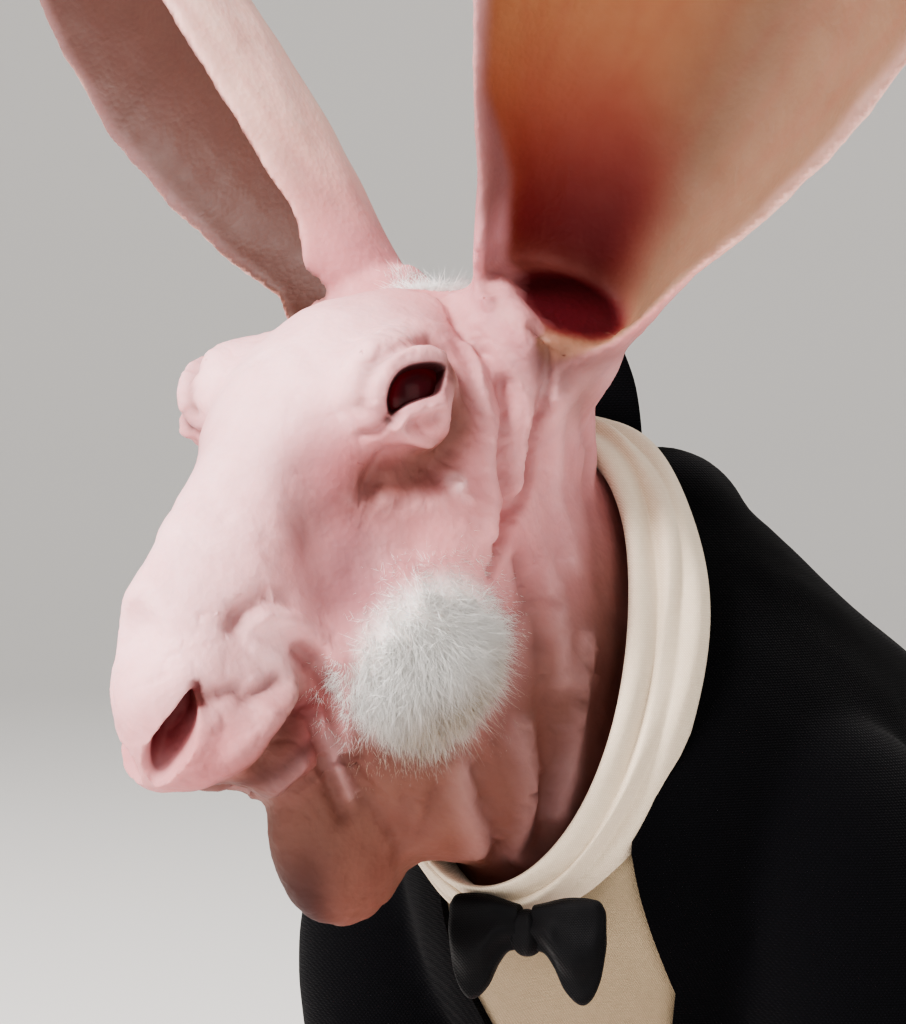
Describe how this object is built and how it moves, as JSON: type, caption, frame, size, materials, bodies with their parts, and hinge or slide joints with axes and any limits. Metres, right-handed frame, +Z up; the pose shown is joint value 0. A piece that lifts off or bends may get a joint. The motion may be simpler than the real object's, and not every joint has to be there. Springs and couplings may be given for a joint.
{
  "type": "hairless rabbit",
  "caption": "Hairless rabbit with wrinkled pink skin, white cheek fuzz and tall ears, sitting up in a black knitted coat with a cream collar and a bow tie.",
  "frame": {"origin": "on the floor under the middle of the bounding box", "axes": "+Z up; the rabbit faces -Y, and its left side is at +X"},
  "size_m": [0.1724, 0.2806, 0.2686],
  "materials": {
    "skin": "bare pink skin, wrinkled, with a soft sheen",
    "eye": "wet dark red eye",
    "coat": "fine black knit",
    "cream_cloth": "soft cream jersey",
    "bow": "black satin weave"
  },
  "bodies": {
    "root": {"head": "skin", "neck": "skin", "torso": "skin", "tail": "skin", "ear_left": "skin", "ear_right": "skin", "foreleg_left": "skin", "foreleg_right": "skin", "thigh_left": "skin", "thigh_right": "skin", "hind_foot_left": "skin", "hind_foot_right": "skin", "eye_left": "eye", "eye_right": "eye", "coat": "coat", "shirt_front": "cream_cloth", "collar_band": "cream_cloth", "bow_wing_left": "bow", "bow_wing_right": "bow", "bow_knot": "bow"}
  },
  "joints": []
}
